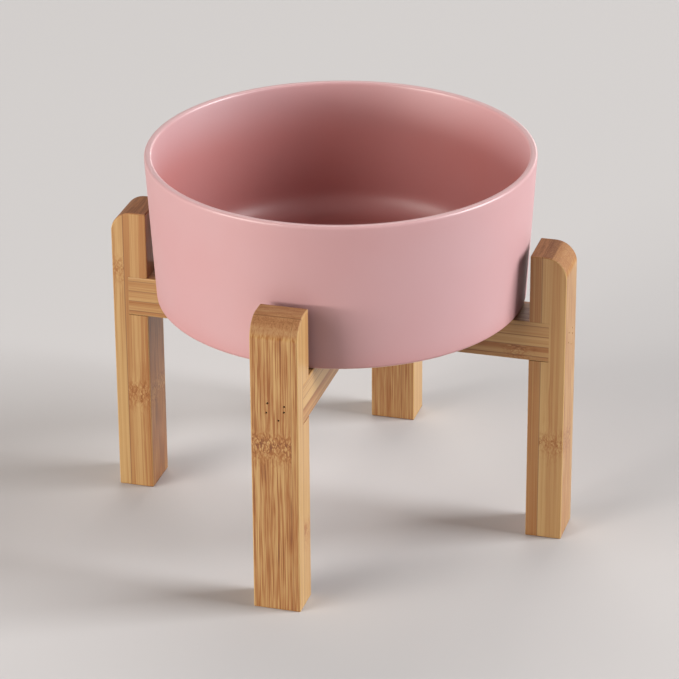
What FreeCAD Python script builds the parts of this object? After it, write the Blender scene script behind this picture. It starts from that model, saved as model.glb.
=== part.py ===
import FreeCAD, Part
import os

import Sketcher

# Driving dimensions in millimetres, with what each one sets.
SIZES = {
    # Bowl, a turned ceramic dish whose wall leans in a little towards its base.
    "bowl_rim_radius": (100.0, "outside radius at the rim"),
    "bowl_draft": (4.6, "how far the wall leans in from rim to base"),
    "bowl_height": (78.6, "base to rim"),
    "bowl_wall": (3.8, "wall thickness"),
    "bowl_floor": (6.0, "floor thickness above the base plane"),
    "bowl_base_round": (2.2, "rounding outside, where wall meets base"),
    "bowl_inner_round": (14.0, "rounding inside, where wall meets floor"),
    "rim_round": (1.3, "rounding of both edges of the rim"),
    "foot_width": (12.0, "base left standing round the shallow recess underneath"),
    "foot_recess": (1.6, "depth of the recess underneath"),
    "foot_round": (0.8, "rounding of the recess edge"),
    # Legs, four equal uprights that stand round the bowl.
    "bowl_clearance": (2.2, "gap between the rim and the inner face of a leg"),
    "leg_depth": (19.0, "leg size away from the centre"),
    "leg_width": (24.5, "leg size across, which the rails share"),
    "leg_height": (159.0, "floor to top of leg"),
    "leg_top_round": (11.2, "rounding of the outer top corner"),
    "wood_edge_round": (0.7, "easing of the sawn edges"),
    # Rails, two bars halved over each other and housed in the legs.
    "seat_height": (122.6, "floor to top of rails, where the bowl rests"),
    "rail_height": (21.6, "rail size up and down"),
    "housing_depth": (10.4, "how far a rail end is let into its leg"),
    "lap_clearance": (0.2, "play on each side of the halving joint"),
    # Pins, headless nails driven through each leg into the rail end.
    "pin_diameter": (1.0, "pin thickness"),
    "pin_length": (18.0, "pin length"),
    "pin_sink": (0.6, "how far a pin is punched below the face"),
    "pin_fit": (0.03, "play round a pin in its hole"),
    # Pin places on the outer face, across to the right and up from mid rail.
    "first_pin_across": (-3.4, "upper left pin"),
    "first_pin_rise": (3.0, "upper left pin"),
    "second_pin_across": (-4.1, "lower left pin"),
    "second_pin_rise": (-2.2, "lower left pin"),
    "third_pin_across": (5.1, "upper right pin"),
    "third_pin_rise": (2.1, "upper right pin"),
    "fourth_pin_across": (5.0, "middle right pin"),
    "fourth_pin_rise": (-1.0, "middle right pin"),
    "fifth_pin_across": (2.1, "lowest pin"),
    "fifth_pin_rise": (-5.8, "lowest pin"),
}
PINS = ("first_pin", "second_pin", "third_pin", "fourth_pin", "fifth_pin")

# Sizes that follow from the driving ones, as expressions.
BASE_RADIUS = "sizes.bowl_rim_radius - sizes.bowl_draft"
RECESS_RADIUS = f"{BASE_RADIUS} - sizes.foot_width"
CAVITY_RADIUS = f"{BASE_RADIUS} - sizes.bowl_wall"
MOUTH_RADIUS = "sizes.bowl_rim_radius - sizes.bowl_wall"
LEG_INNER = "sizes.bowl_rim_radius + sizes.bowl_clearance"
LEG_OUTER = f"{LEG_INNER} + sizes.leg_depth"
RAIL_END = f"{LEG_INNER} + sizes.housing_depth"
RAIL_BOTTOM = "sizes.seat_height - sizes.rail_height"
RAIL_MIDDLE = "sizes.seat_height - sizes.rail_height / 2"
LAP_SIDE = "sizes.leg_width / 2 + sizes.lap_clearance"
PIN_HOLE = "sizes.pin_diameter + 2 * sizes.pin_fit"
LEG_HOLE_DEPTH = "sizes.pin_sink + sizes.pin_length"
RAIL_HOLE_DEPTH = f"{LEG_HOLE_DEPTH} - sizes.leg_depth + sizes.housing_depth"

# Where each leg stands, as degrees about the vertical axis; the front is -Y.
LEG_ANGLES = {"front": -90, "right": 0, "back": 90, "left": 180}
# Each rail's turn, and the part of its height that its halving notch takes.
RAILS = {
    "rail_lower": (0, RAIL_MIDDLE, "sizes.seat_height"),
    "rail_upper": (90, RAIL_BOTTOM, RAIL_MIDDLE),
}

FULL_TURN = 360
RAIL_ENDS = 2
NEAR = 1e-4
UP = FreeCAD.Vector(0, 0, 1)

# Sketcher's numbers for the origin, the two axes and the points of a line or circle.
SKETCH_ORIGIN = (-1, 1)
SKETCH_ACROSS = -1
SKETCH_UPRIGHT = -2
START = 1
END = 2
CENTRE = 3

doc = FreeCAD.newDocument("bowl_stand")
sheet = doc.addObject("Spreadsheet::Sheet", "sizes")
for row, (alias, (size, meaning)) in enumerate(SIZES.items(), start=1):
    sheet.set(f"A{row}", alias)
    sheet.set(f"B{row}", str(size))
    sheet.set(f"C{row}", meaning)
    sheet.setAlias(f"B{row}", alias)
doc.recompute()


def worth(expression):
    """The present value of an expression on the sheet, in millimetres."""
    return float(sheet.evalExpression(expression))


def start_body(label, angle=0):
    """An empty body, turned about the vertical axis to its place."""
    body = doc.addObject("PartDesign::Body", label)
    body.Label = label
    body.Placement = FreeCAD.Placement(FreeCAD.Vector(), FreeCAD.Rotation(UP, angle))
    return body


def start_sketch(body, name, plane, offset=None):
    """A sketch on one of the body's own origin planes, moved out along its normal."""
    sketch = body.newObject("Sketcher::SketchObject", f"{body.Name}_{name}_sketch")
    support = next(item for item in body.Origin.OriginFeatures if item.Role == plane)
    sketch.AttachmentSupport = [(support, "")]
    sketch.MapMode = "FlatFace"
    if offset:
        sketch.setExpression("AttachmentOffset.Base.z", offset)
    return sketch


def drive(sketch, kind, items, expression):
    """A dimension of the sketch that follows an expression on the sheet."""
    index = sketch.addConstraint(Sketcher.Constraint(kind, *items, worth(expression)))
    sketch.setExpression(f"Constraints[{index}]", expression)


def place_point(sketch, point, across, rise):
    """Fix a sketch point by its two distances from the origin, "0" being on an axis."""
    if across == "0":
        sketch.addConstraint(Sketcher.Constraint("PointOnObject", *point, SKETCH_UPRIGHT))
    else:
        drive(sketch, "DistanceX", SKETCH_ORIGIN + point, across)
    if rise == "0":
        sketch.addConstraint(Sketcher.Constraint("PointOnObject", *point, SKETCH_ACROSS))
    else:
        drive(sketch, "DistanceY", SKETCH_ORIGIN + point, rise)


def draw_loop(sketch, corners):
    """A closed run of straight lines through corners given as pairs of expressions."""
    spots = [FreeCAD.Vector(worth(across), worth(rise), 0) for across, rise in corners]
    lines = []
    for here, there in zip(spots, spots[1:] + spots[:1]):
        lines.append(sketch.addGeometry(Part.LineSegment(here, there)))
    for before, after in zip(lines[-1:] + lines[:-1], lines):
        sketch.addConstraint(Sketcher.Constraint("Coincident", before, END, after, START))
    for line, (across, rise) in zip(lines, corners):
        place_point(sketch, (line, START), across, rise)


def draw_box(sketch, left, right, bottom, top):
    """A rectangle between two distances across and two heights."""
    draw_loop(sketch, [(left, bottom), (right, bottom), (right, top), (left, top)])


def draw_pins(sketch, diameter):
    """One circle at each pin's place on the end of a rail."""
    for pin in PINS:
        across = f"sizes.{pin}_across"
        rise = f"{RAIL_MIDDLE} + sizes.{pin}_rise"
        spot = FreeCAD.Vector(worth(across), worth(rise), 0)
        circle = sketch.addGeometry(Part.Circle(spot, UP, worth(diameter) / 2))
        place_point(sketch, (circle, CENTRE), across, rise)
        drive(sketch, "Diameter", (circle,), diameter)


def add_feature(body, kind, name, sketch):
    """A feature on the body made from a sketch."""
    feature = body.newObject(f"PartDesign::{kind}", f"{body.Name}_{name}")
    feature.Profile = sketch
    return feature


def finish_cut(body, feature, whole):
    """Recompute and make sure that the cut took something from the solid."""
    doc.recompute()
    if not feature.Shape.Volume < whole.Volume - NEAR:
        raise RuntimeError(f"{feature.Name} cuts nothing from {body.Label}")


def pad(body, name, sketch, length, symmetric=False, inwards=False):
    """Thicken a sketch, both ways or along or against its normal."""
    feature = add_feature(body, "Pad", name, sketch)
    feature.SideType = "Symmetric" if symmetric else "One side"
    feature.Reversed = inwards
    feature.setExpression("Length", length)
    doc.recompute()


def pocket(body, name, sketch, depth=None):
    """Cut a sketch into the body against its normal, or right through both ways."""
    whole = body.Tip.Shape
    feature = add_feature(body, "Pocket", name, sketch)
    if depth:
        feature.setExpression("Length", depth)
    else:
        feature.SideType = "Symmetric"
        feature.Type = "ThroughAll"
    finish_cut(body, feature, whole)
    return feature


def turn(body, kind, name, sketch):
    """Turn a sketch once about the vertical axis, to add or to cut."""
    whole = body.Tip.Shape if body.Tip else None
    feature = add_feature(body, kind, name, sketch)
    feature.ReferenceAxis = (sketch, ["V_Axis"])
    feature.Angle = FULL_TURN
    if whole:
        finish_cut(body, feature, whole)
    else:
        doc.recompute()


def round_edges(body, name, wanted, radius):
    """Round the edges of the body that a test picks out."""
    base = body.Tip
    edges = [f"Edge{i}" for i, edge in enumerate(base.Shape.Edges, start=1) if wanted(edge)]
    if not edges:
        raise RuntimeError(f"{body.Label} has no edge for {name}")
    fillet = body.newObject("PartDesign::Fillet", f"{body.Name}_{name}")
    fillet.Base = (base, edges)
    fillet.setExpression("Radius", radius)
    doc.recompute()


def is_ring(edge, radius, height):
    """Whether an edge is a level circle about the axis, of this radius and height."""
    if not isinstance(edge.Curve, Part.Circle):
        return False
    return abs(edge.Curve.Radius - worth(radius)) < NEAR and abs(edge.Curve.Center.z - worth(height)) < NEAR


def runs_along(edge, direction):
    """Whether an edge is a straight line along a direction."""
    if not isinstance(edge.Curve, Part.Line):
        return False
    return abs(edge.Curve.Direction.dot(direction)) > 1 - NEAR


def make_bowl():
    """The bowl: turned form, rounded base, cavity, rim and the recess underneath."""
    body = start_body("bowl")
    body.setExpression("Placement.Base.z", "sizes.seat_height")
    height = "sizes.bowl_height"
    floor = "sizes.bowl_floor"

    form = start_sketch(body, "form", "XZ_Plane")
    draw_loop(form, [("0", "0"), (BASE_RADIUS, "0"), ("sizes.bowl_rim_radius", height), ("0", height)])
    turn(body, "Revolution", "form", form)
    round_edges(body, "base_edge", lambda edge: is_ring(edge, BASE_RADIUS, "0"), "sizes.bowl_base_round")

    cavity = start_sketch(body, "cavity", "XZ_Plane")
    draw_loop(cavity, [("0", floor), (CAVITY_RADIUS, floor), (MOUTH_RADIUS, height), ("0", height)])
    turn(body, "Groove", "cavity", cavity)
    round_edges(body, "inner_edge", lambda edge: is_ring(edge, CAVITY_RADIUS, floor), "sizes.bowl_inner_round")
    rims = ("sizes.bowl_rim_radius", MOUTH_RADIUS)
    round_edges(body, "rim", lambda edge: any(is_ring(edge, rim, height) for rim in rims), "sizes.rim_round")

    recess = start_sketch(body, "recess", "XZ_Plane")
    draw_box(recess, "0", RECESS_RADIUS, "0", "sizes.foot_recess")
    turn(body, "Groove", "recess", recess)
    round_edges(body, "foot_edge", lambda edge: is_ring(edge, RECESS_RADIUS, "0"), "sizes.foot_round")
    return body


def make_leg(side, angle):
    """A leg: upright bar with a rounded outer top, eased edges, a housing and pin holes."""
    body = start_body(f"leg_{side}", angle)
    across = FreeCAD.Vector(0, 1, 0)
    inner = worth(LEG_INNER)
    top = worth("sizes.leg_height")
    half_width = worth("sizes.leg_width") / 2

    def is_outer_top(edge):
        middle = edge.BoundBox.Center
        return runs_along(edge, across) and middle.x > inner + NEAR and middle.z > top - NEAR

    def is_sharp(edge):
        middle = edge.BoundBox.Center
        at_corner = middle.z < NEAR or (middle.x < inner + NEAR and middle.z > top - NEAR)
        return abs(middle.y) > half_width - NEAR or (runs_along(edge, across) and at_corner)

    upright = start_sketch(body, "upright", "XZ_Plane")
    draw_box(upright, LEG_INNER, LEG_OUTER, "0", "sizes.leg_height")
    pad(body, "upright", upright, "sizes.leg_width", symmetric=True)
    round_edges(body, "top", is_outer_top, "sizes.leg_top_round")
    round_edges(body, "easing", is_sharp, "sizes.wood_edge_round")

    housing = start_sketch(body, "housing", "XZ_Plane")
    draw_box(housing, "0", RAIL_END, RAIL_BOTTOM, "sizes.seat_height")
    pocket(body, "housing", housing)

    holes = start_sketch(body, "holes", "YZ_Plane", LEG_OUTER)
    draw_pins(holes, PIN_HOLE)
    pocket(body, "holes", holes, LEG_HOLE_DEPTH)
    return body


def make_rail(label, angle, notch_bottom, notch_top):
    """A rail: eased bar with its halving notch and, at both ends, the pin holes."""
    body = start_body(label, angle)
    along = FreeCAD.Vector(1, 0, 0)

    bar = start_sketch(body, "bar", "XZ_Plane")
    draw_box(bar, f"-({RAIL_END})", RAIL_END, RAIL_BOTTOM, "sizes.seat_height")
    pad(body, "bar", bar, "sizes.leg_width", symmetric=True)
    round_edges(body, "easing", lambda edge: runs_along(edge, along), "sizes.wood_edge_round")

    notch = start_sketch(body, "notch", "XZ_Plane")
    draw_box(notch, f"-({LAP_SIDE})", LAP_SIDE, notch_bottom, notch_top)
    pocket(body, "notch", notch)

    holes = start_sketch(body, "holes", "YZ_Plane", RAIL_END)
    draw_pins(holes, PIN_HOLE)
    one_end = pocket(body, "holes", holes, RAIL_HOLE_DEPTH)
    both_ends = body.newObject("PartDesign::PolarPattern", f"{body.Name}_both_ends")
    both_ends.Originals = [one_end]
    both_ends.Axis = (notch, ["V_Axis"])
    both_ends.Angle = FULL_TURN
    both_ends.Occurrences = RAIL_ENDS
    body.Tip = both_ends
    finish_cut(body, both_ends, one_end.Shape)
    return body


def make_pins(side, angle):
    """The pins of one leg, driven in from its outer face and punched below it."""
    body = start_body(f"pins_{side}", angle)
    ends = start_sketch(body, "ends", "YZ_Plane", f"{LEG_OUTER} - sizes.pin_sink")
    draw_pins(ends, "sizes.pin_diameter")
    pad(body, "shanks", ends, "sizes.pin_length", inwards=True)
    return body


def check(bodies):
    """Stop if anything in the document failed or came out unsound."""
    for item in doc.Objects:
        if "Invalid" in item.State or "Error" in item.State:
            raise RuntimeError(f"{item.Name} failed: {item.State}")
    for body in bodies:
        solids = len(PINS) if body.Label.startswith("pins") else 1
        if body.Shape.isNull() or not body.Shape.isValid():
            raise RuntimeError(f"{body.Label} has no sound shape")
        if len(body.Shape.Solids) != solids:
            raise RuntimeError(f"{body.Label} has {len(body.Shape.Solids)} solids")


def write(bodies):
    """One STEP file for each body, named by its label."""
    os.makedirs("parts", exist_ok=True)
    for body in bodies:
        body.Shape.exportStep(f"parts/{body.Label}.step")


def main():
    bodies = [make_bowl()]
    for label, (angle, notch_bottom, notch_top) in RAILS.items():
        bodies.append(make_rail(label, angle, notch_bottom, notch_top))
    for side, angle in LEG_ANGLES.items():
        bodies.append(make_leg(side, angle))
        bodies.append(make_pins(side, angle))
    doc.recompute()
    check(bodies)
    write(bodies)


main()
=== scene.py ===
"""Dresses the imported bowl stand: a turned ceramic bowl on bamboo legs and rails that driven pins hold."""
import math
from typing import NamedTuple

import bpy
from bpy.props import FloatProperty, FloatVectorProperty, PointerProperty
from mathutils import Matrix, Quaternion, Vector


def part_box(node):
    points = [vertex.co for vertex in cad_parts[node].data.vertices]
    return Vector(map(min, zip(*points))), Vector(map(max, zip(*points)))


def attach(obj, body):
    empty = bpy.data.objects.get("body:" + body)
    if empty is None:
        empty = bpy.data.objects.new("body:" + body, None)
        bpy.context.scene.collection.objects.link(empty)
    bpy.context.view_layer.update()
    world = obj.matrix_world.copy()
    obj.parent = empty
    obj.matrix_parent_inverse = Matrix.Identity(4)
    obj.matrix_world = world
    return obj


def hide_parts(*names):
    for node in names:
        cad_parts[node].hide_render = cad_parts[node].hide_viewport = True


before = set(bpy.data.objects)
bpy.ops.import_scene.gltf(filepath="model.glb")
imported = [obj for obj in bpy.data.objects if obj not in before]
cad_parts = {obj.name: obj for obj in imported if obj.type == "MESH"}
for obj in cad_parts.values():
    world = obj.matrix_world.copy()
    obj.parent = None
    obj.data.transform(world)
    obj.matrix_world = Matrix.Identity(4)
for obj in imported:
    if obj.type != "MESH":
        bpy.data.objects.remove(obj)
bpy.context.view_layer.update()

bl_info = {
    "name": "Bowl and Bamboo Stand",
    "version": (1, 0, 0),
    "blender": (4, 5, 0),
    "location": "View3D > Sidebar > Bowl Stand",
    "description": "Turns the bowl, finishes the bamboo, drives the pins and sets the stage",
    "category": "Add Mesh",
}

MM = 0.001
PER_MM = 1000.0

bowl_low, bowl_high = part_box("bowl")
pins_low, pins_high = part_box("pins_right")
rail_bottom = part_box("rail_lower")[0].z
leg_inner_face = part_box("leg_right")[0].x


def colour(red, green, blue):
    """Gives a colour that is written in 0 to 255 steps as the linear values that the sockets take."""
    def linear(step):
        share = step / 255.0
        return share / 12.92 if share <= 0.04045 else ((share + 0.055) / 1.055) ** 2.4
    return linear(red), linear(green), linear(blue)


def size_of(name, description, default):
    """A length that the user can change."""
    return FloatProperty(
        name=name, description=description, default=default, unit="LENGTH", precision=4, min=0.0)


def power_of(name, description, default):
    """The power of a lamp that the user can change."""
    return FloatProperty(name=name, description=description, default=default, unit="POWER", min=0.0)


def strength_of(name, description, default):
    """A plain strength that the user can change."""
    return FloatProperty(name=name, description=description, default=default, min=0.0)


def shade_of(name, description, default):
    """A colour that the user can change."""
    return FloatVectorProperty(
        name=name, description=description, default=default, subtype="COLOR", size=3, min=0.0, max=1.0)


class BowlSizes(bpy.types.PropertyGroup):
    """Sizes of the turned bowl."""
    rim_radius: size_of("Rim radius", "Outside radius at the rim", (bowl_high.x - bowl_low.x) / 2)
    height: size_of("Height", "From the foot to the rim", bowl_high.z - bowl_low.z)
    base_height: size_of("Base height", "Height of the foot above the floor", bowl_low.z)
    lean: size_of("Lean", "How far the wall comes in from the rim to the foot", 4.6 * MM)
    wall: size_of("Wall", "Thickness of the wall", 3.8 * MM)
    floor: size_of("Floor", "Thickness from the foot to the inside", 6.0 * MM)
    base_round: size_of("Base round", "Rounding under the wall", 2.2 * MM)
    inner_round: size_of("Inner round", "Rounding where the inside meets its floor", 14.0 * MM)
    rim_round: size_of("Rim round", "Rounding of both edges of the rim", 1.3 * MM)
    foot_width: size_of("Foot width", "Width of the ring that the bowl stands on", 12.0 * MM)
    foot_recess: size_of("Foot recess", "Depth of the hollow inside the foot", 1.6 * MM)
    foot_round: size_of("Foot round", "Rounding of the foot's inner edge", 0.8 * MM)


class PinSizes(bpy.types.PropertyGroup):
    """Sizes of the driven pins."""
    radius: size_of("Radius", "Radius of a pin", 0.5 * MM)
    length: size_of("Length", "Length of a pin", pins_high.x - pins_low.x)
    tip: size_of("Tip", "Length of the ground tip", 1.6 * MM)
    head_round: size_of("Head round", "Rounding of the head's edge", 0.15 * MM)


class StandFinishes(bpy.types.PropertyGroup):
    """Colours of the bowl, the bamboo, the pins and the floor."""
    glaze: shade_of("Glaze", "Main colour of the bowl", colour(182, 140, 142))
    glaze_deep: shade_of("Glaze, deep", "Colour where the glaze lies thicker, and painted shade inside the bowl", colour(179, 108, 103))
    glaze_edge: shade_of("Glaze, edge", "Colour where the glaze is thin on the rim, with a painted highlight", colour(206, 164, 165))
    clay: shade_of("Clay", "Bare clay of the foot", colour(226, 214, 202))
    bamboo_pale: shade_of("Bamboo, pale", "Pale fibres", colour(182, 146, 93))
    bamboo_dark: shade_of("Bamboo, dark", "Dark fibres", colour(142, 84, 27))
    bamboo_burnt: shade_of("Bamboo, burnt", "Knuckles and glue lines", colour(90, 47, 19))
    bamboo_sawn: shade_of("Bamboo, sawn", "Grey that the sawn ends take on", colour(158, 124, 96))
    pin: shade_of("Pin", "Dark steel of the pins", colour(7, 5, 4))
    pin_worn: shade_of("Pin, worn", "Steel where the driver has rubbed it", colour(22, 17, 14))
    floor: shade_of("Floor", "Pale floor of the stage", colour(202, 199, 199))


class StageSettings(bpy.types.PropertyGroup):
    """Light and camera."""
    floor_size: size_of("Floor size", "Width of the floor", 16.0)
    key_softbox: power_of("Key light", "Power of the tall softbox on the right", 1700.0)
    left_softbox: power_of("Left light", "Power of the large softbox on the left", 620.0)
    high_softbox: power_of("High light", "Power of the high softbox on the left", 175.0)
    left_strip: power_of("Strip light", "Power of the low strip under the left softbox", 605.0)
    back_softbox: power_of("Back light", "Power of the softbox behind", 390.0)
    back_card: power_of("Back card light", "Power of the low card behind", 110.0)
    air: strength_of("Even light", "Strength of the light from all round", 0.02)
    lens: FloatProperty(name="Lens", description="Focal length of the camera", default=178.75, unit="CAMERA")


class Board(NamedTuple):
    """One piece of bamboo: places in mm, shades and strengths from about 0 to 1, and a seed."""
    split: float         # depth of the main glue line, from the inner face or the bottom
    strip: float         # where two strips are joined in the outer lamella, from the middle
    inner_strip: float   # where two strips are joined in the inner lamella, from the middle
    knuckle: float       # place of the outer lamella's knuckle along the piece
    back_knuckle: float  # place of the inner lamella's knuckle along the piece
    heartband: float     # darkness of the heart beside the glue
    inner_shade: float   # darkness added to the inner lamella
    end_shade: float     # darkness added to the sawn ends: their own tone, and partly painted shade on the tops
    figure: float        # strength of the fibres
    side_light: float    # painted sheen on the sides, over their paler edge grain
    seed: int            # picks the cane that the lamellas are cut from


# Each leg: the way it faces in degrees, and its board
LEGS = {
    "leg_front": (-90, Board(
        split=11.6, strip=8.6, inner_strip=14.0, knuckle=93.0, back_knuckle=42.0, heartband=0.15,
        inner_shade=0.1, end_shade=0.05, figure=0.85, side_light=0.12, seed=1)),
    "leg_right": (0, Board(
        split=6.3, strip=6.0, inner_strip=-6.0, knuckle=56.5, back_knuckle=300.0, heartband=0.25,
        inner_shade=0.2, end_shade=0.27, figure=0.6, side_light=0.1, seed=2)),
    "leg_back": (90, Board(
        split=9.0, strip=5.0, inner_strip=-5.0, knuckle=74.0, back_knuckle=120.0, heartband=0.2,
        inner_shade=-0.1, end_shade=0.1, figure=0.6, side_light=0.1, seed=3)),
    "leg_left": (180, Board(
        split=12.5, strip=14.0, inner_strip=14.0, knuckle=129.0, back_knuckle=57.0, heartband=0.15,
        inner_shade=0.2, end_shade=0.38, figure=0.8, side_light=0.12, seed=4)),
}
# Each rail: the turn that lays its lumber through, across and along the grain, and its board
RAILS = {
    "rail_lower": ((0, 90, 0), Board(
        split=8.2, strip=4.0, inner_strip=-4.0, knuckle=60.0, back_knuckle=-95.0, heartband=0.5,
        inner_shade=0.1, end_shade=0.1, figure=0.7, side_light=0.0, seed=5)),
    "rail_upper": ((90, 0, 90), Board(
        split=8.2, strip=5.0, inner_strip=-5.0, knuckle=70.0, back_knuckle=-40.0, heartband=0.3,
        inner_shade=0.0, end_shade=0.0, figure=0.8, side_light=0.0, seed=6)),
}
# Thickness of the layers in mm, which in a leg is past its depth, so that it has one glue line
LEG_LAYER = 60.0
RAIL_LAYER = 5.6
# Each set of pins: the body that it moves with, and the way that its heads face
PINS = {
    "pins_front": ("upper_frame", (0, -1, 0)),
    "pins_back": ("upper_frame", (0, 1, 0)),
    "pins_left": ("lower_frame", (-1, 0, 0)),
    "pins_right": ("lower_frame", (1, 0, 0)),
}

# What a fade falls by, and the middle of a noise that runs from 0 to 1
FADE_BASE = 2.718
MIDDLE = 0.5


class Wiring:
    """Adds nodes to one tree and joins each to what feeds it."""

    def __init__(self, tree):
        self.tree = tree

    def add(self, kind, inputs=None, **settings):
        """Adds a node, sets it up and feeds its inputs."""
        node = self.tree.nodes.new(kind)
        for name, value in settings.items():
            setattr(node, name, value)
        for key, value in (inputs or {}).items():
            self.feed(node.inputs[key], value)
        return node

    def feed(self, socket, value):
        """Links a socket to another one, or sets it to a plain value."""
        if isinstance(value, bpy.types.NodeSocket):
            self.tree.links.new(value, socket)
        else:
            socket.default_value = value

    def math(self, operation, *values):
        return self.add("ShaderNodeMath", dict(enumerate(values)), operation=operation).outputs[0]

    def vector(self, operation, *values):
        return self.add("ShaderNodeVectorMath", dict(enumerate(values)), operation=operation).outputs[0]

    def combine(self, x, y, z):
        return self.add("ShaderNodeCombineXYZ", {"X": x, "Y": y, "Z": z}).outputs[0]

    def separate(self, vector):
        return self.add("ShaderNodeSeparateXYZ", {"Vector": vector}).outputs

    def span(self, value, low, high, to_low=0.0, to_high=1.0):
        """Carries value smoothly from one range to another and holds it at both ends."""
        inputs = {"Value": value, 1: low, 2: high, 3: to_low, 4: to_high}
        return self.add("ShaderNodeMapRange", inputs, interpolation_type="SMOOTHSTEP").outputs[0]

    def drop(self, value, low, high):
        """Goes smoothly from 1 to 0 as value goes from low to high."""
        return self.span(value, low, high, 1.0, 0.0)

    def fade(self, distance):
        """Falls from 1 towards 0 as distance grows."""
        return self.math("POWER", FADE_BASE, self.math("MULTIPLY", distance, -1.0))

    def between(self, factor, first, second):
        """Goes from the first number to the second as factor goes from 0 to 1."""
        return self.add("ShaderNodeMix", {0: factor, 2: first, 3: second}, data_type="FLOAT").outputs[0]

    def tint(self, factor, first, second):
        """Lays the second colour over the first by factor."""
        inputs = {0: factor, 6: first, 7: second}
        return self.add("ShaderNodeMix", inputs, data_type="RGBA", blend_type="MIX").outputs[2]

    def noise(self, vector, scale, detail=2.0, roughness=0.5):
        inputs = {"Vector": vector, "Scale": scale, "Detail": detail, "Roughness": roughness}
        return self.add("ShaderNodeTexNoise", inputs).outputs[0]

    def grain(self, fibre, across, along):
        """Noise about zero that is stretched along the fibres, in waves to a mm."""
        stretched = self.vector("MULTIPLY", fibre, (across, across, along))
        return self.math("SUBTRACT", self.noise(stretched, 1.0), MIDDLE)

    def cells(self, place, waves, output, **settings):
        """Measures each point's place in a field of random cells."""
        inputs = {"Vector": self.vector("MULTIPLY", place, waves), "Scale": 1.0}
        return self.add("ShaderNodeTexVoronoi", inputs, **settings).outputs[output]

    def swirl(self, place, waves, reach, strength):
        """A random push on each point, up to half of reach, scaled by strength."""
        inputs = {"Vector": self.vector("MULTIPLY", place, waves), "Scale": 1.0, "Detail": 2.0}
        push = self.add("ShaderNodeTexNoise", inputs).outputs["Color"]
        push = self.vector("SUBTRACT", push, (MIDDLE, MIDDLE, MIDDLE))
        push = self.vector("MULTIPLY", push, reach)
        return self.add("ShaderNodeVectorMath", {0: push, "Scale": strength}, operation="SCALE").outputs[0]


def solid(shade):
    """Gives a colour with full cover, as the sockets take it."""
    return (*shade, 1.0)


def label(name):
    """Writes a value's name the way that its socket is labelled."""
    return name.replace("_", " ").title()


def labelled(sizes):
    """Gives each size of a property group under its socket's label."""
    return {label(name): getattr(sizes, name) for name in type(sizes).__annotations__}


def add_sockets(tree, in_out, kind, names):
    """Adds named inputs or outputs of one kind to a tree."""
    for name in names:
        tree.interface.new_socket(name, in_out=in_out, socket_type=kind)


def start_material(name):
    """Makes a material with a bare shader and gives its wiring and the shader."""
    material = bpy.data.materials.new(name)
    material.use_nodes = True
    material.node_tree.nodes.clear()
    wire = Wiring(material.node_tree)
    shader = wire.add("ShaderNodeBsdfPrincipled")
    wire.add("ShaderNodeOutputMaterial", {"Surface": shader.outputs[0]})
    return material, wire, shader


# A random place in the cane for each lamella, in mm, and steps that keep the draws of boards and strips apart
CANE_LENGTH = 400.0
BOARD_DRAWS = 31.0
STRIP_DRAWS = 11.0


def find_lamella(wire, given, through, across):
    """Finds the depth past the glue line, if the lamella is an outer one, its join and the side of it."""
    depth = wire.math("SUBTRACT", through, given["Split"])
    outer = wire.math("GREATER_THAN", depth, 0.0)
    join = wire.between(outer, given["Inner Strip"], given["Strip"])
    beyond = wire.math("GREATER_THAN", across, join)
    return depth, outer, join, beyond


def pick_cane(wire, given, depth, beyond):
    """Draws a random shade for each lamella and a random place in the cane that it is cut from."""
    layer = wire.math("FLOOR", wire.math("DIVIDE", depth, given["Layer"]))
    lamella = wire.math("MULTIPLY_ADD", beyond, STRIP_DRAWS, layer)
    lamella = wire.math("MULTIPLY_ADD", given["Seed"], BOARD_DRAWS, lamella)
    chance = wire.add("ShaderNodeTexWhiteNoise", {"W": lamella}, noise_dimensions="1D").outputs
    cane = wire.vector("MULTIPLY_ADD", chance["Color"], (CANE_LENGTH,) * 3, given["Lumber"])
    return chance["Value"], cane


# The knuckle's own wave: waves to a mm, and twice its height in mm
KNUCKLE_WAVES = 0.2
KNUCKLE_WAVE = 6.0
# How fast the knuckle fades below and above, and how fast the fibres about it straighten, to a mm
KNUCKLE_FADE = (0.12, 0.22)
FLARE_FADE = 0.05
# Pushes on the fibres, through, across and along: waves to a mm, and twice their reach in mm
TANGLE = ((0.5, 0.5, 0.30), (4.5, 4.5, 9.0))
CURL = ((0.16, 0.16, 0.045), (2.6, 2.6, 0.0))
WANDER = ((0.05, 0.05, 0.012), (1.0, 1.0, 0.0))
# Waves along a side to one along a face
SIDE_WAVES = 0.35


def bend_fibres(wire, given, cane, along, outer, beyond, side):
    """Bends the fibres, which wander all along, curl near a knuckle, and swell and tangle in it."""
    # Past the join in a lamella the next knuckle lies a whole cane further on
    height = wire.between(outer, given["Back Knuckle"], given["Knuckle"])
    height = wire.math("MULTIPLY_ADD", beyond, CANE_LENGTH, height)
    wave = wire.math("SUBTRACT", wire.noise(cane, KNUCKLE_WAVES, 1.0), MIDDLE)
    lift = wire.math("SUBTRACT", along, wire.math("MULTIPLY_ADD", wave, KNUCKLE_WAVE, height))
    reach = wire.between(wire.math("GREATER_THAN", lift, 0.0), *KNUCKLE_FADE)
    swell = wire.fade(wire.math("POWER", wire.math("MULTIPLY", lift, reach), 2.0))
    flare = wire.fade(wire.math("MULTIPLY", wire.math("ABSOLUTE", lift), FLARE_FADE))
    tangle = wire.swirl(cane, *TANGLE, swell)
    curl = wire.swirl(cane, *CURL, flare)
    wander = wire.swirl(cane, *WANDER, 1.0)
    fibre = wire.vector("ADD", wire.vector("ADD", cane, wander), wire.vector("ADD", tangle, curl))
    stretch = wire.combine(1.0, 1.0, wire.between(side, 1.0, SIDE_WAVES))
    return wire.vector("MULTIPLY", fibre, stretch), tangle, swell


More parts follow.
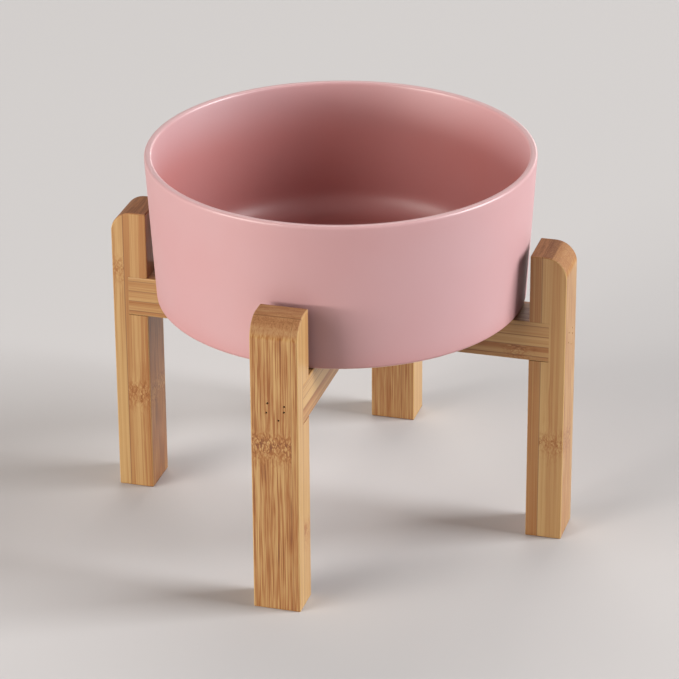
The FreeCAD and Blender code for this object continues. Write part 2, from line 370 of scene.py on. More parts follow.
# Each kind of grain: waves to a mm across the fibres and along them
BANDS = (0.2, 0.004)
CLOUDS = (0.22, 0.045)
FLAMES = (0.45, 0.035)
STREAKS = (1.15, 0.026)
HAIRS = (2.4, 0.04)
THREADS = (0.62, 0.012)
# Dark bundles: waves to a mm through, across and along
BUNDLES = (0.9, 0.9, 0.035)
# Where threads and bundles start to fade and are gone
THREAD_EDGE = (0.02, 0.11)
BUNDLE_EDGE = (0.10, 0.36)
# How much each darkens the wood, and where there are two, on a face and on a side
STREAK_SHADE = 2.0
HAIR_SHADE = 1.4
THREAD_SHADE = (0.3, 0.1)
CLOUD_GAIN = 2.0
CLOUD_SHADE = 0.5
FLAME_SHADE = 0.38
FIGURE_SHARE = (1.0, 0.5)
BAND_SHADE = (0.3, 1.3)


def draw_fibres(wire, given, fibre, side):
    """Draws bands, clouds and flames, streaks and hairlines, and the dark threads and bundles among them."""
    bands = wire.grain(fibre, *BANDS)
    clouds = wire.grain(fibre, *CLOUDS)
    flames = wire.grain(fibre, *FLAMES)
    streaks = wire.grain(fibre, *STREAKS)
    hairs = wire.grain(fibre, *HAIRS)
    threads = wire.drop(wire.math("ABSOLUTE", wire.grain(fibre, *THREADS)), *THREAD_EDGE)
    bundles = wire.drop(wire.cells(fibre, BUNDLES, "Distance"), *BUNDLE_EDGE)
    thread_shade = wire.between(side, *THREAD_SHADE)
    fine = wire.math("MULTIPLY", streaks, STREAK_SHADE)
    fine = wire.math("MULTIPLY_ADD", hairs, HAIR_SHADE, fine)
    fine = wire.math("MULTIPLY_ADD", bundles, thread_shade, fine)
    fine = wire.math("MULTIPLY_ADD", threads, thread_shade, fine)
    fine = wire.math("MULTIPLY", fine, wire.math("MULTIPLY_ADD", clouds, CLOUD_GAIN, 1.0))
    broad = wire.math("MULTIPLY_ADD", flames, FLAME_SHADE, wire.math("MULTIPLY", clouds, CLOUD_SHADE))
    figure = wire.math("MULTIPLY", given["Figure"], wire.between(side, *FIGURE_SHARE))
    tone = wire.math("MULTIPLY", wire.math("ADD", broad, fine), figure)
    tone = wire.math("MULTIPLY_ADD", bands, wire.between(side, *BAND_SHADE), tone)
    return tone, streaks, hairs, bundles


# Specks and loops in a knuckle: waves to a mm through, across and along, and how dark they get
SPECKS = (0.85, 0.85, 0.42)
SPECK_DETAIL = 3.0
SPECK_ROUGHNESS = 0.55
SPECK_EDGE = (0.36, 0.64)
SPECK_SHADE = 0.8
LOOPS = (0.7, 0.7, 0.3)
LOOP_EDGE = (0.0, 0.26)
LOOP_RANGE = (1.2, 0.1)
LOOP_SHADE = 0.6
LOOP_TANGLE = 0.5


def speckle_knuckle(wire, fibre, cane, tangle):
    """Draws the dark specks of a knuckle and the loops of its tangled fibres."""
    specks = wire.noise(wire.vector("MULTIPLY", fibre, SPECKS), 1.0, SPECK_DETAIL, SPECK_ROUGHNESS)
    specks = wire.span(specks, *SPECK_EDGE)
    knotted = wire.vector("MULTIPLY_ADD", tangle, (LOOP_TANGLE,) * 3, cane)
    loops = wire.cells(knotted, LOOPS, "Distance", feature="DISTANCE_TO_EDGE")
    loops = wire.span(loops, *LOOP_EDGE, *LOOP_RANGE)
    return wire.math("MULTIPLY_ADD", specks, SPECK_SHADE, wire.math("MULTIPLY", loops, LOOP_SHADE))


# End grain: waves to a mm, then how dark each is, in the inner lamella and the outer one where there are two
RINGS = (0.9, 0.07, 0.02)
DOTS = (1.5, 0.1)
END_SHADE = (0.72, 0.52)
RING_SHADE = (1.4, 0.5)
DOT_SHADE = (0.4, 1.0)
END_BUNDLE_SHADE = 0.25
# The heart on the ends: its depth from the glue and where it fades, in mm
END_HEART_DEPTH = 2.6
END_HEART_EDGE = (1.8, 3.0)
END_HEART_SHADE = 1.8


def draw_end_grain(wire, given, fibre, cane, depth, outer, bundles):
    """Draws rings, dots and bundles on the sawn ends, and the dark heart."""
    rings = wire.noise(wire.vector("MULTIPLY", fibre, RINGS), 1.0)
    rings = wire.math("SUBTRACT", rings, MIDDLE)
    dots = wire.grain(cane, *DOTS)
    # End Shade darkens the ends: their own tone, and partly painted shade on the tops
    shade = wire.math("ADD", wire.between(outer, *END_SHADE), given["End Shade"])
    shade = wire.math("MULTIPLY_ADD", rings, wire.between(outer, *RING_SHADE), shade)
    shade = wire.math("MULTIPLY_ADD", dots, wire.between(outer, *DOT_SHADE), shade)
    shade = wire.math("MULTIPLY_ADD", bundles, END_BUNDLE_SHADE, shade)
    heart = wire.math("ABSOLUTE", wire.math("SUBTRACT", depth, END_HEART_DEPTH))
    heart = wire.math("MULTIPLY", wire.drop(heart, *END_HEART_EDGE), given["Heartband"])
    return wire.math("MULTIPLY_ADD", heart, END_HEART_SHADE, shade)


# Glue between layers and joins between strips: where each fades, in mm, and how strong a join is
GLUE_EDGE = (0.10, 0.40)
JOIN_EDGE = (0.05, 0.25)
JOIN_STRENGTH = 0.7


def draw_glue(wire, given, depth, across, join):
    """Draws the glue lines between the layers and the finer joins between the strips."""
    nearest = wire.math("ROUND", wire.math("DIVIDE", depth, given["Layer"]))
    nearest = wire.math("MULTIPLY", nearest, given["Layer"])
    near_glue = wire.math("ABSOLUTE", wire.math("SUBTRACT", depth, nearest))
    near_join = wire.math("ABSOLUTE", wire.math("SUBTRACT", across, join))
    joins = wire.span(near_join, *JOIN_EDGE, JOIN_STRENGTH, 0.0)
    return wire.math("MAXIMUM", wire.drop(near_glue, *GLUE_EDGE), joins)


# Long grain: its plain shade, the spread between lamellas, and the painted shade on the inner face, which
# faces the bowl on a leg and the floor on a rail
PLAIN_SHADE = 0.42
LAMELLA_SPREAD = 0.2
INNER_FACE_EDGE = (-0.9, -0.3)
INNER_FACE_PAINTED_SHADE = 0.2
# How strong a knuckle is on a face and on a side, and how much the eased edges are lightened by a painted
# highlight
KNUCKLE_STRENGTH = (0.92, 0.5)
ARRIS_EDGE = (0.1, 0.45)
ARRIS_PAINTED_HIGHLIGHT = -0.4
# The heart on the long grain: its depth before the glue and where it fades, in mm
HEART_DEPTH = 1.5
HEART_EDGE = (0.6, 2.2)
HEART_SHADE = 0.6
# Where a face counts as a sawn end and where it loses its varnish, by how far it turns to the end
END_EDGE = (0.1, 0.45)
DULL_EDGE = (0.02, 0.2)
# Stains: the glue on the long grain and on the ends, the grey of the ends, and the burnt dark
GLUE_STRENGTH = (0.5, 0.6)
SAWN_SHARE = 0.35
BURNT_EDGE = (0.7, 1.6)
BURNT_SHARE = 0.85
# Varnish and relief: with two values, the long grain's first and then the ends'
VARNISH = (0.6, 0.1)
VARNISHED_ROUGHNESS = 0.52
HAIR_ROUGHNESS = 0.2
SAWN_ROUGHNESS = 0.85
STREAK_RELIEF = 0.6
BUNDLE_RELIEF = 0.4


def bamboo_group():
    """Builds the finish that all bamboo shares, from lumber laid through, across and along in mm."""
    group = bpy.data.node_groups.new("laminated_bamboo", "ShaderNodeTree")
    add_sockets(group, "INPUT", "NodeSocketVector", ("Lumber", "Facing"))
    add_sockets(group, "INPUT", "NodeSocketFloat", ("Layer", *map(label, Board._fields)))
    add_sockets(group, "INPUT", "NodeSocketColor", ("Pale", "Dark", "Burnt", "Sawn"))
    add_sockets(group, "OUTPUT", "NodeSocketColor", ("Colour",))
    add_sockets(group, "OUTPUT", "NodeSocketFloat", ("Roughness", "Varnish", "Relief"))
    wire = Wiring(group)
    given = wire.add("NodeGroupInput").outputs
    through, across, along = wire.separate(given["Lumber"])
    face_through, face_across, face_along = wire.separate(given["Facing"])
    side = wire.math("ABSOLUTE", face_across)
    endward = wire.math("ABSOLUTE", face_along)
    end = wire.span(endward, *END_EDGE)
    dull = wire.span(endward, *DULL_EDGE)

    depth, outer, join, beyond = find_lamella(wire, given, through, across)
    chance, cane = pick_cane(wire, given, depth, beyond)
    fibre, tangle, swell = bend_fibres(wire, given, cane, along, outer, beyond, side)
    tone, streaks, hairs, bundles = draw_fibres(wire, given, fibre, side)

    # The long grain, lighter on the sides by painted sheen over their paler edge grain, darker in the inner
    # lamella, and darker on the inner face by painted shade
    paler_sides_and_sheen = wire.math("MULTIPLY", side, given["Side Light"])
    shade = wire.math("ADD", tone, wire.math("SUBTRACT", PLAIN_SHADE, paler_sides_and_sheen))
    shade = wire.math("MULTIPLY_ADD", wire.math("SUBTRACT", chance, MIDDLE), LAMELLA_SPREAD, shade)
    shade = wire.math("ADD", shade, wire.between(outer, given["Inner Shade"], 0.0))
    shade = wire.math("MULTIPLY_ADD", wire.drop(face_through, *INNER_FACE_EDGE), INNER_FACE_PAINTED_SHADE, shade)

    # Over it the knuckle, the sawn ends, a painted highlight on the eased edges, and the dark heart beside
    # the glue
    knuckle = wire.math("MULTIPLY", swell, wire.between(side, *KNUCKLE_STRENGTH))
    shade = wire.between(knuckle, shade, speckle_knuckle(wire, fibre, cane, tangle))
    shade = wire.between(end, shade, draw_end_grain(wire, given, fibre, cane, depth, outer, bundles))
    off_side = wire.math("SQRT", wire.math("SUBTRACT", 1.0, wire.math("POWER", side, 2.0)))
    arris_highlight = wire.span(wire.math("MULTIPLY", side, off_side), *ARRIS_EDGE)
    shade = wire.math("MULTIPLY_ADD", arris_highlight, ARRIS_PAINTED_HIGHLIGHT, shade)
    heart = wire.drop(wire.math("ABSOLUTE", wire.math("ADD", depth, HEART_DEPTH)), *HEART_EDGE)
    heart = wire.math("MULTIPLY", heart, wire.between(end, given["Heartband"], 0.0))
    shade = wire.math("MULTIPLY_ADD", heart, HEART_SHADE, shade)

    # From shade to colour, with the glue and the darkest grain stained
    glue = draw_glue(wire, given, depth, across, join)
    glue = wire.math("MULTIPLY", glue, wire.between(end, *GLUE_STRENGTH))
    plain = wire.tint(wire.span(shade, 0.0, 1.0), given["Pale"], given["Dark"])
    plain = wire.tint(wire.math("MULTIPLY", end, SAWN_SHARE), plain, given["Sawn"])
    burnt = wire.span(shade, *BURNT_EDGE, 0.0, BURNT_SHARE)
    stained = wire.tint(wire.math("MAXIMUM", burnt, glue), plain, given["Burnt"])

    varnished = wire.math("MULTIPLY_ADD", hairs, HAIR_ROUGHNESS, VARNISHED_ROUGHNESS)
    roughness = wire.between(dull, varnished, SAWN_ROUGHNESS)
    varnish = wire.between(dull, *VARNISH)
    relief = wire.math("MULTIPLY_ADD", streaks, STREAK_RELIEF, hairs)
    relief = wire.math("SUBTRACT", relief, wire.math("MULTIPLY", bundles, BUNDLE_RELIEF))
    relief = wire.math("SUBTRACT", relief, glue)
    finish = {"Colour": stained, "Roughness": roughness, "Varnish": varnish, "Relief": relief}
    wire.add("NodeGroupOutput", finish)
    return group


BAMBOO_SHINE = 0.36
COAT_ROUGHNESS = 0.32
BAMBOO_BUMP = 0.35
BAMBOO_BUMP_HEIGHT = 0.12 * MM


def bamboo_material(name, group, finishes, turn, start, layer, board):
    """Lays one piece's lumber into the shared finish: turn sets it upright, start is its inner face in mm."""
    material, wire, shader = start_material(name)
    coordinates = wire.add("ShaderNodeTexCoord").outputs
    angles = [math.radians(degrees) for degrees in turn]
    lay = {
        "Vector": coordinates["Object"],
        "Location": (-start, 0.0, 0.0),
        "Rotation": angles,
        "Scale": (PER_MM,) * 3,
    }
    lumber = wire.add("ShaderNodeMapping", lay, vector_type="POINT").outputs[0]
    face = {"Vector": coordinates["Normal"], "Rotation": angles}
    facing = wire.add("ShaderNodeMapping", face, vector_type="VECTOR").outputs[0]
    settings = {
        "Lumber": lumber,
        "Facing": facing,
        "Layer": layer,
        "Pale": solid(finishes.bamboo_pale),
        "Dark": solid(finishes.bamboo_dark),
        "Burnt": solid(finishes.bamboo_burnt),
        "Sawn": solid(finishes.bamboo_sawn),
    }
    for field, value in board._asdict().items():
        settings[label(field)] = value
    grain = wire.add("ShaderNodeGroup", node_tree=group)
    for key, value in settings.items():
        wire.feed(grain.inputs[key], value)
    relief = {
        "Height": grain.outputs["Relief"],
        "Strength": BAMBOO_BUMP,
        "Distance": BAMBOO_BUMP_HEIGHT,
    }
    wire.feed(shader.inputs["Base Color"], grain.outputs["Colour"])
    wire.feed(shader.inputs["Roughness"], grain.outputs["Roughness"])
    wire.feed(shader.inputs["Normal"], wire.add("ShaderNodeBump", relief).outputs[0])
    wire.feed(shader.inputs["Coat Weight"], grain.outputs["Varnish"])
    shader.inputs["Specular IOR Level"].default_value = BAMBOO_SHINE
    shader.inputs["Coat Roughness"].default_value = COAT_ROUGHNESS
    return material


# Glaze: clouds and grain in waves to a metre, where the rim and the foot begin and end, how deep it lies in
# the clouds, the painted shade inside the bowl, and the rim's painted highlight
GLAZE_CLOUDS = 22.0
GLAZE_GRAIN = 900.0
GLAZE_CLOUD_EDGE = (0.3, 0.7)
GLAZE_CLOUD_SHARE = 0.12
INSIDE_EDGE = 2.0 * MM
INSIDE_SHADE_SHARE = 0.7
RIM_EDGE = (2.4 * MM, 0.3 * MM)
RIM_THIN_GLAZE_AND_HIGHLIGHT_SHARE = 0.3
FOOT_EDGE = (0.3 * MM, 0.9 * MM)
GLAZE_ROUGHNESS = 0.56
INSIDE_ROUGHNESS = -0.12
GLAZE_CLOUD_ROUGHNESS = 0.1
RIM_ROUGHNESS = 0.36
CLAY_ROUGHNESS = 0.85
GLAZE_SHINE = 0.8
GLAZE_BUMP = 0.12
GLAZE_BUMP_HEIGHT = 0.05 * MM


def glaze_material(finishes, base_z, rim_z, wall_radius):
    """A matte glaze: satin inside and darkened there by painted shade, thinner and lighter on the rim with a
    painted highlight, and bare clay on the foot.
    """
    material, wire, shader = start_material("matte_glaze")
    point = wire.add("ShaderNodeTexCoord").outputs["Object"]
    across_x, across_y, height = wire.separate(point)
    squares = wire.math("ADD", wire.math("POWER", across_x, 2.0), wire.math("POWER", across_y, 2.0))
    reach = wire.math("SQRT", squares)
    cloud = wire.noise(point, GLAZE_CLOUDS)
    inside = wire.span(wire.math("SUBTRACT", wall_radius, reach), 0.0, INSIDE_EDGE)
    rim = wire.span(height, rim_z - RIM_EDGE[0], rim_z - RIM_EDGE[1])
    foot = wire.drop(height, base_z + FOOT_EDGE[0], base_z + FOOT_EDGE[1])

    # Painted shade: the inside of the bowl is tinted towards the deep glaze, over the glaze's own clouds
    depth = wire.math("MULTIPLY", inside, INSIDE_SHADE_SHARE)
    depth = wire.math("MULTIPLY_ADD", wire.span(cloud, *GLAZE_CLOUD_EDGE), GLAZE_CLOUD_SHARE, depth)
    skin = wire.tint(depth, solid(finishes.glaze), solid(finishes.glaze_deep))
    # Painted highlight over thinner glaze: the rim is tinted lighter
    skin = wire.tint(wire.math("MULTIPLY", rim, RIM_THIN_GLAZE_AND_HIGHLIGHT_SHARE), skin, solid(finishes.glaze_edge))
    skin = wire.tint(foot, skin, solid(finishes.clay))
    wire.feed(shader.inputs["Base Color"], skin)

    unevenness = wire.math("MULTIPLY", wire.math("SUBTRACT", cloud, MIDDLE), GLAZE_CLOUD_ROUGHNESS)
    roughness = wire.math("MULTIPLY_ADD", inside, INSIDE_ROUGHNESS, GLAZE_ROUGHNESS)
    roughness = wire.math("ADD", roughness, unevenness)
    roughness = wire.between(rim, roughness, RIM_ROUGHNESS)
    roughness = wire.between(foot, roughness, CLAY_ROUGHNESS)
    wire.feed(shader.inputs["Roughness"], roughness)

    relief = {
        "Height": wire.noise(point, GLAZE_GRAIN),
        "Strength": GLAZE_BUMP,
        "Distance": GLAZE_BUMP_HEIGHT,
    }
    wire.feed(shader.inputs["Normal"], wire.add("ShaderNodeBump", relief).outputs[0])
    shader.inputs["Specular IOR Level"].default_value = GLAZE_SHINE
    return material


WEAR_WAVES = 2600.0
WEAR_DETAIL = 3.0
WEAR_EDGE = (0.35, 0.7)
PIN_ROUGHNESS = 0.6
WORN_ROUGHNESS = -0.2
PIN_METAL = 0.2
PIN_SHINE = 0.1


def pin_material(finishes):
    """Dark wire steel, a little uneven from the driver."""
    material, wire, shader = start_material("driven_steel")
    point = wire.add("ShaderNodeTexCoord").outputs["Object"]
    wear = wire.span(wire.noise(point, WEAR_WAVES, WEAR_DETAIL), *WEAR_EDGE)
    wire.feed(shader.inputs["Base Color"], wire.tint(wear, solid(finishes.pin), solid(finishes.pin_worn)))
    wire.feed(shader.inputs["Roughness"], wire.math("MULTIPLY_ADD", wear, WORN_ROUGHNESS, PIN_ROUGHNESS))
    shader.inputs["Metallic"].default_value = PIN_METAL
    shader.inputs["Specular IOR Level"].default_value = PIN_SHINE
    return material


FLOOR_CLOUDS = 3.0
FLOOR_CLOUD_SHADE = (0.5, 0.5, 0.5)
FLOOR_CLOUD_SHARE = 0.06
FLOOR_ROUGHNESS = 0.8
FLOOR_CLOUD_ROUGHNESS = 0.1
FLOOR_SHINE = 0.1


def floor_material(finishes):
    """A pale matte floor with the faintest unevenness."""
    material, wire, shader = start_material("stage_floor")
    point = wire.add("ShaderNodeTexCoord").outputs["Object"]
    cloud = wire.noise(point, FLOOR_CLOUDS, 1.0)
    share = wire.math("MULTIPLY", cloud, FLOOR_CLOUD_SHARE)
    wire.feed(shader.inputs["Base Color"], wire.tint(share, solid(finishes.floor), solid(FLOOR_CLOUD_SHADE)))
    roughness = wire.math("MULTIPLY_ADD", cloud, FLOOR_CLOUD_ROUGHNESS, FLOOR_ROUGHNESS)
    wire.feed(shader.inputs["Roughness"], roughness)
    shader.inputs["Specular IOR Level"].default_value = FLOOR_SHINE
    return material


def start_tree(name, *inputs):
    """Starts a geometry tree with named inputs of each kind, and gives its wiring and those inputs."""
    tree = bpy.data.node_groups.new(name, "GeometryNodeTree")
    for kind, names in inputs:
        add_sockets(tree, "INPUT", kind, names)
    add_sockets(tree, "OUTPUT", "NodeSocketGeometry", ("Geometry",))
    wire = Wiring(tree)
    return wire, wire.add("NodeGroupInput").outputs


def end_tree(wire, geometry, material):
    """Ends a tree in one real mesh with its material."""
    real = wire.add("GeometryNodeRealizeInstances", {"Geometry": geometry}).outputs[0]
    finished = wire.add("GeometryNodeSetMaterial", {"Geometry": real, "Material": material}).outputs[0]
    wire.add("NodeGroupOutput", {"Geometry": finished})


def by_index(wire, kind, values):
    """Gives each point of a line the value with its own number."""
    switch = wire.add("GeometryNodeIndexSwitch", data_type=kind)
    while len(switch.index_switch_items) < len(values):
        switch.index_switch_items.new()
    wire.feed(switch.inputs[0], wire.add("GeometryNodeInputIndex").outputs[0])
    for number, value in enumerate(values):
        wire.feed(switch.inputs[number + 1], value)
    return switch.outputs[0]


# Points round each piece and in each rounding, the longest step along a profile, and the sweep's radius
BOWL_SEGMENTS = 192
PIN_SEGMENTS = 20
ROUND_STEPS = 8
PROFILE_STEP = 4.0 * MM
SWEEP_RADIUS = 1.0
# Points this close are one: in a turned skin, and where a pin's points are gathered in its middle
WELD = 1e-6
GATHER = 1e-5


def turn_profile(wire, corners, segments):
    """Turns corners given as reach, rise and rounding about the upright axis into one closed skin."""
    places = by_index(wire, "VECTOR", [wire.combine(reach, rise, 0.0) for reach, rise, rounding in corners])
    rounding = by_index(wire, "FLOAT", [rounding for reach, rise, rounding in corners])
    line = wire.add("GeometryNodeMeshLine", {"Count": len(corners)}).outputs[0]
    line = wire.add("GeometryNodeSetPosition", {"Geometry": line, "Position": places}).outputs[0]
    line = wire.add("GeometryNodeMeshToCurve", {"Mesh": line}).outputs[0]
    eased = {"Curve": line, "Radius": rounding, "Limit Radius": True, "Count": ROUND_STEPS}
    line = wire.add("GeometryNodeFilletCurve", eased, mode="POLY").outputs[0]

    here = wire.add("GeometryNodeInputPosition").outputs[0]
    following = wire.add("GeometryNodeOffsetPointInCurve", {"Offset": 1}).outputs["Point Index"]
    next_point = {"Index": following, "Value": here}
    there = wire.add("GeometryNodeFieldAtIndex", next_point, data_type="FLOAT_VECTOR", domain="POINT")
    ends = {0: here, 1: there.outputs[0]}
    run = wire.add("ShaderNodeVectorMath", ends, operation="DISTANCE").outputs["Value"]
    cuts = wire.math("FLOOR", wire.math("DIVIDE", run, PROFILE_STEP))
    line = wire.add("GeometryNodeSubdivideCurve", {"Curve": line, "Cuts": cuts}).outputs[0]

    sweep = {"Resolution": segments, "Radius": SWEEP_RADIUS}
    circle = wire.add("GeometryNodeCurvePrimitiveCircle", sweep).outputs[0]
    shift = {"Geometry": line, "Translation": (-SWEEP_RADIUS, 0.0, 0.0), "Scale": (1.0, -1.0, 1.0)}
    profile = wire.add("GeometryNodeTransform", shift).outputs[0]
    skin = wire.add("GeometryNodeCurveToMesh", {"Curve": circle, "Profile Curve": profile}).outputs[0]
    skin = wire.add("GeometryNodeMergeByDistance", {"Geometry": skin, "Distance": WELD}).outputs[0]
    skin = wire.add("GeometryNodeFlipFaces", {"Mesh": skin}).outputs[0]
    return wire.add("GeometryNodeSetShadeSmooth", {"Geometry": skin}).outputs[0]


def bowl_tree(material):
    """The turned bowl: a drafted wall on a ring foot, hollow, with every edge eased."""
    wire, size = start_tree("turned_bowl", ("NodeSocketFloat", map(label, BowlSizes.__annotations__)))
    low = size["Base Height"]
    top = wire.math("ADD", low, size["Height"])
    recess_rise = wire.math("ADD", low, size["Foot Recess"])
    floor_rise = wire.math("ADD", low, size["Floor"])
    base = wire.math("SUBTRACT", size["Rim Radius"], size["Lean"])
    recess_reach = wire.math("SUBTRACT", base, size["Foot Width"])
    corners = [
        (0.0, recess_rise, 0.0),
        (recess_reach, recess_rise, size["Foot Round"]),
        (recess_reach, low, size["Foot Round"]),
        (base, low, size["Base Round"]),
        (size["Rim Radius"], top, size["Rim Round"]),
        (wire.math("SUBTRACT", size["Rim Radius"], size["Wall"]), top, size["Rim Round"]),
        (wire.math("SUBTRACT", base, size["Wall"]), floor_rise, size["Inner Round"]),
        (0.0, floor_rise, 0.0),
    ]
    end_tree(wire, turn_profile(wire, corners, BOWL_SEGMENTS), material)
    return wire.tree


# The blunt end of a pin's tip, as a share of its radius
TIP_SHARE = 0.3


def pins_tree(material):
    """Driven pins: a turned pin with an eased head and a ground tip in place of each pin of the frame."""
    wire, size = start_tree(
        "driven_pins",
        ("NodeSocketGeometry", ("Geometry",)),
        ("NodeSocketVector", ("Way",)),
        ("NodeSocketFloat", map(label, PinSizes.__annotations__)),
    )
    half = wire.math("MULTIPLY", size["Length"], 0.5)
    foot = wire.math("MULTIPLY", half, -1.0)
    corners = [
        (0.0, foot, 0.0),
        (wire.math("MULTIPLY", size["Radius"], TIP_SHARE), foot, 0.0),
        (size["Radius"], wire.math("ADD", foot, size["Tip"]), 0.0),
        (size["Radius"], half, size["Head Round"]),
        (0.0, half, 0.0),
    ]
    pin = turn_profile(wire, corners, PIN_SEGMENTS)

    frame_pins = {"Geometry": size["Geometry"], "Distance": WELD}
    welded = wire.add("GeometryNodeMergeByDistance", frame_pins).outputs[0]
    middle = wire.add("GeometryNodeFieldAverage", data_type="FLOAT_VECTOR", domain="POINT")
    wire.feed(middle.inputs[0], wire.add("GeometryNodeInputPosition").outputs[0])
    wire.feed(middle.inputs["Group ID"], wire.add("GeometryNodeInputMeshIsland").outputs["Island Index"])
    drawn_in = {"Geometry": welded, "Position": middle.outputs["Mean"]}
    gathered = wire.add("GeometryNodeSetPosition", drawn_in).outputs[0]
    places = wire.add("GeometryNodeMergeByDistance", {"Geometry": gathered, "Distance": GATHER}).outputs[0]
    rotation = wire.add("FunctionNodeAlignRotationToVector", {"Vector": size["Way"]}, axis="Z").outputs[0]
    driven = {"Points": places, "Instance": pin, "Rotation": rotation}
    end_tree(wire, wire.add("GeometryNodeInstanceOnPoints", driven).outputs[0], material)
    return wire.tree


def grow(name, tree, sizes, start=None):
    """Runs a tree on a new object and leaves its result as a plain mesh."""
    mesh = start.copy() if start else bpy.data.meshes.new(name)
    piece = bpy.data.objects.new(name, mesh)
    bpy.context.scene.collection.objects.link(piece)
    nodes = piece.modifiers.new(tree.name, "NODES")
    nodes.node_group = tree
    sockets = {item.name: item.identifier for item in tree.interface.items_tree if item.in_out == "INPUT"}
    for title, value in sizes.items():
        nodes[sockets[title]] = value
    evaluated = piece.evaluated_get(bpy.context.evaluated_depsgraph_get())
    finished = bpy.data.meshes.new_from_object(evaluated)
    piece.modifiers.remove(nodes)
    piece.data = finished
    finished.name = name
    bpy.data.meshes.remove(mesh)
    if not finished.polygons:
        raise RuntimeError(f"{name} came out empty")
    skin = finished.materials[-1]
    finished.materials.clear()
    finished.materials.append(skin)
    return piece


def dress(node, material):
    """Gives a piece of the frame its own material."""
    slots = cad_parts[node].data.materials
    slots.clear()
    slots.append(material)


class STAND_OT_bowl(bpy.types.Operator):
    """Turn the bowl and glaze it"""
    bl_idname = "stand.bowl"
    bl_label = "Turn Bowl"

    def execute(self, context):
        sizes = context.scene.stand_bowl
        rim_height = sizes.base_height + sizes.height
        wall_radius = sizes.rim_radius - sizes.wall
        glaze = glaze_material(context.scene.stand_finishes, sizes.base_height, rim_height, wall_radius)
        bowl = grow("ceramic_bowl", bowl_tree(glaze), labelled(sizes))
        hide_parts("bowl")
        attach(bowl, "bowl_body")
        return {"FINISHED"}


class STAND_OT_bamboo(bpy.types.Operator):
    """Finish the legs and rails as laminated bamboo"""
    bl_idname = "stand.bamboo"
    bl_label = "Finish Bamboo"

    def execute(self, context):
        finishes = context.scene.stand_finishes
        group = bamboo_group()
        start = leg_inner_face * PER_MM
        for node, (faces, board) in LEGS.items():
            turn = (0, 0, -faces)
            dress(node, bamboo_material(f"bamboo_{node}", group, finishes, turn, start, LEG_LAYER, board))
        start = rail_bottom * PER_MM
        for node, (turn, board) in RAILS.items():
            dress(node, bamboo_material(f"bamboo_{node}", group, finishes, turn, start, RAIL_LAYER, board))
        return {"FINISHED"}


class STAND_OT_pins(bpy.types.Operator):
    """Drive the pins that hold the legs to the rails"""
    bl_idname = "stand.pins"
    bl_label = "Drive Pins"

    def execute(self, context):
        sizes = labelled(context.scene.stand_pins)
        tree = pins_tree(pin_material(context.scene.stand_finishes))
        for node, (body, way) in PINS.items():
            name = node.replace("pins", "driven_pins")
            pins = grow(name, tree, {"Way": way, **sizes}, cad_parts[node].data)
            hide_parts(node)
            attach(pins, body)
        return {"FINISHED"}


class Softbox(NamedTuple):
    """A soft lamp: its place, its width and height, and its tint."""
    place: tuple
    width: float
    height: float
    tint: tuple


KEY_TINT = (0.965, 0.99, 1.0)
FILL_TINT = (1.0, 0.955, 0.9)
AIR_TINT = (1.0, 0.99, 0.98)
SOFTBOXES = {
    "key_softbox": Softbox((9.210, 1.707, 3.612), 4.8, 7.2, KEY_TINT),
    "left_softbox": Softbox((-6.078, -7.243, 3.366), 6.0, 6.2, FILL_TINT),
    "high_softbox": Softbox((-6.2, -4.6, 6.2), 5.0, 5.0, FILL_TINT),
    "left_strip": Softbox((-6.671, -7.408, 0.895), 6.0, 1.4, FILL_TINT),
    "back_softbox": Softbox((-1.984, 6.920, 8.690), 6.4, 6.4, FILL_TINT),
    "back_card": Softbox((1.140, 9.140, 1.080), 4.6, 1.7, FILL_TINT),
}
SOFTBOX_AIM = Vector((0.0, 0.0, 0.11))
CAMERA_PLACE = Vector((0.43692, -1.52934, 0.84072))
CAMERA_AIM = Vector((-0.00123, -0.00035, 0.09471))
CAMERA_ROLL = math.radians(-0.381)
SENSOR_WIDTH = 36.0
FARTHEST_SEEN = 40.0


def aim_at(thing, place, target):
    """Puts a lamp or the camera in its place and turns it to the target."""
    thing.location = place
    thing.rotation_mode = "QUATERNION"
    thing.rotation_quaternion = (target - Vector(place)).to_track_quat("-Z", "Y")


def lay_floor(scene, settings, finishes):
    """Lays the floor about the middle of the stand."""
    half = settings.floor_size / 2
    corners = [(-half, -half, 0), (half, -half, 0), (half, half, 0), (-half, half, 0)]
    mesh = bpy.data.meshes.new("stage_floor")
    mesh.from_pydata(corners, [], [(0, 1, 2, 3)])
    mesh.materials.append(floor_material(finishes))
    floor = bpy.data.objects.new("stage_floor", mesh)
    scene.collection.objects.link(floor)


def hang_softboxes(scene, settings):
    """Hangs each softbox with the power that the settings give it."""
    for name, softbox in SOFTBOXES.items():
        lamp = bpy.data.lights.new(name, "AREA")
        lamp.color = softbox.tint
        lamp.shape = "RECTANGLE"
        lamp.size = softbox.width
        lamp.size_y = softbox.height
        lamp.energy = getattr(settings, name)
        hung = bpy.data.objects.new(name, lamp)
        aim_at(hung, softbox.place, SOFTBOX_AIM)
        scene.collection.objects.link(hung)


def fill_air(scene, settings, finishes):
    """Fills the stage with a weak even light, and shows the floor's colour where a ray leaves it."""
    world = bpy.data.worlds.new("stage_air")
    world.use_nodes = True
    world.node_tree.nodes.clear()
    wire = Wiring(world.node_tree)
    path = wire.add("ShaderNodeLightPath").outputs
    reflected = wire.math("MAXIMUM", path["Is Glossy Ray"], path["Is Transmission Ray"])
    seen = wire.math("MAXIMUM", path["Is Camera Ray"], reflected)
    air = wire.add("ShaderNodeBackground", {"Color": solid(AIR_TINT), "Strength": settings.air})
    backdrop = wire.add("ShaderNodeBackground", {"Color": solid(finishes.floor), "Strength": 1.0})
    mixed = wire.add("ShaderNodeMixShader", {0: seen, 1: air.outputs[0], 2: backdrop.outputs[0]})
    wire.add("ShaderNodeOutputWorld", {"Surface": mixed.outputs[0]})
    scene.world = world


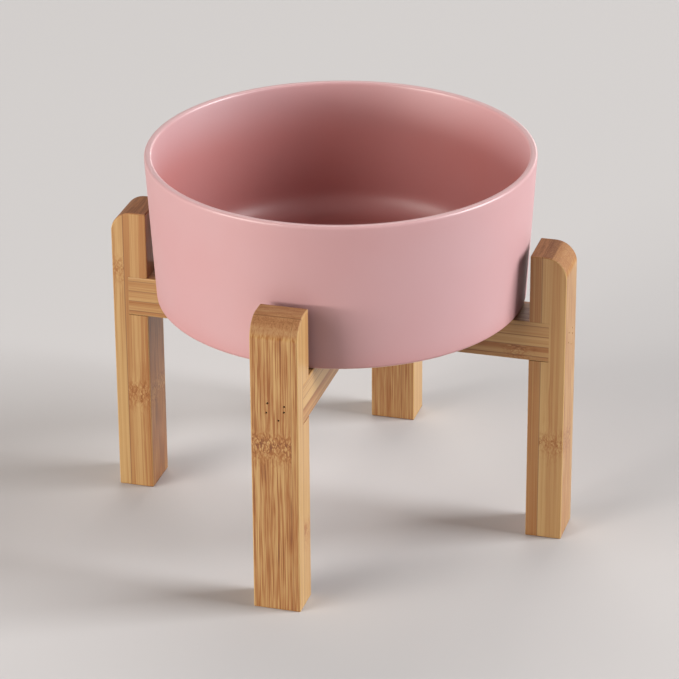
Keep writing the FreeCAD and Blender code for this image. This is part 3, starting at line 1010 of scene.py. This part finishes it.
def place_camera(scene, settings):
    """Places the camera and levels it."""
    lens = bpy.data.cameras.new("camera")
    lens.lens = settings.lens
    lens.sensor_width = SENSOR_WIDTH
    lens.clip_end = FARTHEST_SEEN
    camera = bpy.data.objects.new("camera", lens)
    aim_at(camera, CAMERA_PLACE, CAMERA_AIM)
    camera.rotation_quaternion = camera.rotation_quaternion @ Quaternion((0.0, 0.0, 1.0), CAMERA_ROLL)
    scene.collection.objects.link(camera)
    scene.camera = camera


class STAND_OT_stage(bpy.types.Operator):
    """Lay the floor, hang the softboxes and place the camera"""
    bl_idname = "stand.stage"
    bl_label = "Set Stage"

    def execute(self, context):
        scene = context.scene
        lay_floor(scene, scene.stand_stage, scene.stand_finishes)
        hang_softboxes(scene, scene.stand_stage)
        fill_air(scene, scene.stand_stage, scene.stand_finishes)
        place_camera(scene, scene.stand_stage)
        scene.view_settings.view_transform = "Standard"
        return {"FINISHED"}


class STAND_PT_panel(bpy.types.Panel):
    """Lists the steps and the sizes and colours they use"""
    bl_idname = "STAND_PT_panel"
    bl_label = "Bowl Stand"
    bl_space_type = "VIEW_3D"
    bl_region_type = "UI"
    bl_category = "Bowl Stand"

    def draw(self, context):
        column = self.layout.column()
        for name, (group, step) in STEPS.items():
            settings = getattr(context.scene, name)
            for field in group.__annotations__:
                column.prop(settings, field)
            column.operator(step.bl_idname)


# Each step of the work: its sizes or colours as the scene holds them, and its operator
STEPS = {
    "stand_bowl": (BowlSizes, STAND_OT_bowl),
    "stand_finishes": (StandFinishes, STAND_OT_bamboo),
    "stand_pins": (PinSizes, STAND_OT_pins),
    "stand_stage": (StageSettings, STAND_OT_stage),
}
CLASSES = (*(kind for step in STEPS.values() for kind in step), STAND_PT_panel)


def register():
    for kind in CLASSES:
        bpy.utils.register_class(kind)
    for name, (group, step) in STEPS.items():
        setattr(bpy.types.Scene, name, PointerProperty(type=group))


def unregister():
    for name in STEPS:
        delattr(bpy.types.Scene, name)
    for kind in reversed(CLASSES):
        bpy.utils.unregister_class(kind)


def main():
    register()
    bpy.ops.stand.bowl()
    bpy.ops.stand.bamboo()
    bpy.ops.stand.pins()
    bpy.ops.stand.stage()


if __name__ == "__main__":
    main()
